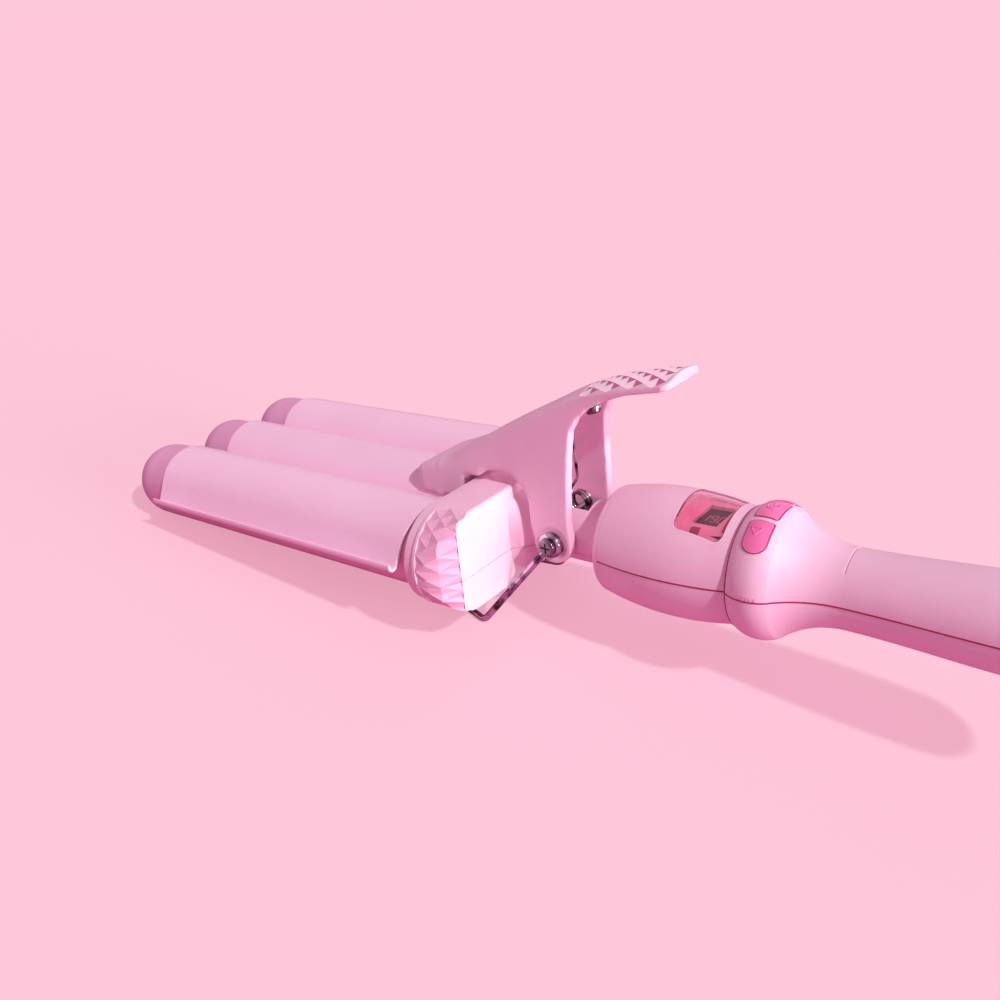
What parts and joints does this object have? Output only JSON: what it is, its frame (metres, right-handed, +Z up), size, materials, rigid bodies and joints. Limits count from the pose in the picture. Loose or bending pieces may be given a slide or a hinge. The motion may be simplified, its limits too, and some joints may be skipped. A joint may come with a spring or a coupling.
{
  "type": "hair waver",
  "caption": "Barrel hair waver with a sprung clamp sheet on a thumb lever, a fold-out wire stand, a control head with display and buttons, and a slim handle.",
  "frame": {"origin": "middle of the underside of the box round the whole tool, as it rests on its barrel tips and stand", "axes": "+X from the barrel tips to the handle's end, +Y across, from the near barrel to the far one, +Z up"},
  "size_m": [0.4022, 0.1174, 0.1065],
  "materials": {
    "housing": "satin pink moulded plastic",
    "tip_plastic": "mauve heat-proof plastic",
    "barrel_metal": "pink coated aluminium tube",
    "sheet_metal": "pink satin coated aluminium sheet",
    "button_plastic": "hot pink moulded plastic",
    "bright_wire": "dark bright plated steel",
    "spring_steel": "oiled spring steel",
    "lens": "clear pink acrylic",
    "display": "dark display module",
    "inner_plastic": "dark pink inner plastic",
    "circuit_board": "green circuit board",
    "ceramic": "white ceramic heater",
    "heat_metal": "extruded aluminium",
    "plate_steel": "zinc plated steel plate",
    "switch_plastic": "black switch",
    "can_metal": "sleeved capacitor can"
  },
  "bodies": {
    "clamp": {"clamp_lever": "housing", "clamp_sheet": "sheet_metal", "sheet_rivets": "heat_metal", "spring_screw": "bright_wire", "spring_washer": "bright_wire"},
    "stand": {"stand_wire": "bright_wire"},
    "button_down": {"button_down": "button_plastic"},
    "button_power": {"button_power": "button_plastic"},
    "button_up": {"button_up": "button_plastic"},
    "cord_bush": {"cord_bush": "housing"},
    "tool": {"barrel_near": "barrel_metal", "tip_near": "tip_plastic", "heater_near": "ceramic", "heat_spreaders_near": "heat_metal", "barrel_middle": "barrel_metal", "tip_middle": "tip_plastic", "heater_middle": "ceramic", "heat_spreaders_middle": "heat_metal", "barrel_far": "barrel_metal", "tip_far": "tip_plastic", "heater_far": "ceramic", "heat_spreaders_far": "heat_metal", "crossbar_upper": "housing", "crossbar_lower": "housing", "barrel_collar": "housing", "barrel_bracket": "plate_steel", "crossbar_screws": "bright_wire", "collar_screw": "bright_wire", "pivot_axle": "spring_steel", "pivot_screws": "bright_wire", "pivot_washers": "bright_wire", "spring_pin": "spring_steel", "lever_spring": "spring_steel", "handle_upper": "housing", "handle_lower": "housing", "front_cap": "housing", "display_lens": "lens", "display_tray": "inner_plastic", "display_module": "display", "control_board": "circuit_board", "switch_carrier": "inner_plastic", "button_switches": "switch_plastic", "handle_screws": "bright_wire", "power_board": "circuit_board", "power_capacitor": "can_metal", "end_cap": "housing"}
  },
  "joints": [
    {"name": "clamp_open", "type": "hinge", "parent": "tool", "child": "clamp", "pos_m": [0.00967, 0, 0.03776], "axis": [0, 1, 0], "range_deg": [0, 30], "stiffness_Nm_per_rad": 0.8, "springref_deg": -28.65, "deforming": ["lever_spring"]},
    {"name": "stand_fold", "type": "hinge", "parent": "tool", "child": "stand", "pos_m": [0.00967, 0, 0.03776], "axis": [0, 1, 0], "range_deg": [-108, 0]},
    {"name": "down_press", "type": "slide", "parent": "tool", "child": "button_down", "axis": [0.0904, 0.5807, -0.8091], "range_m": [0, 0.0006], "stiffness_N_per_m": 500, "springref_m": -0.0005},
    {"name": "power_press", "type": "slide", "parent": "tool", "child": "button_power", "axis": [0.1111, 0, -0.9938], "range_m": [0, 0.0006], "stiffness_N_per_m": 500, "springref_m": -0.0005},
    {"name": "up_press", "type": "slide", "parent": "tool", "child": "button_up", "axis": [0.0904, -0.5807, -0.8091], "range_m": [0, 0.0006], "stiffness_N_per_m": 500, "springref_m": -0.0005},
    {"name": "bush_turn", "type": "hinge", "parent": "tool", "child": "cord_bush", "pos_m": [0.19261, 0, 0.0575], "axis": [0.9938, 0, 0.1111], "continuous": true}
  ]
}
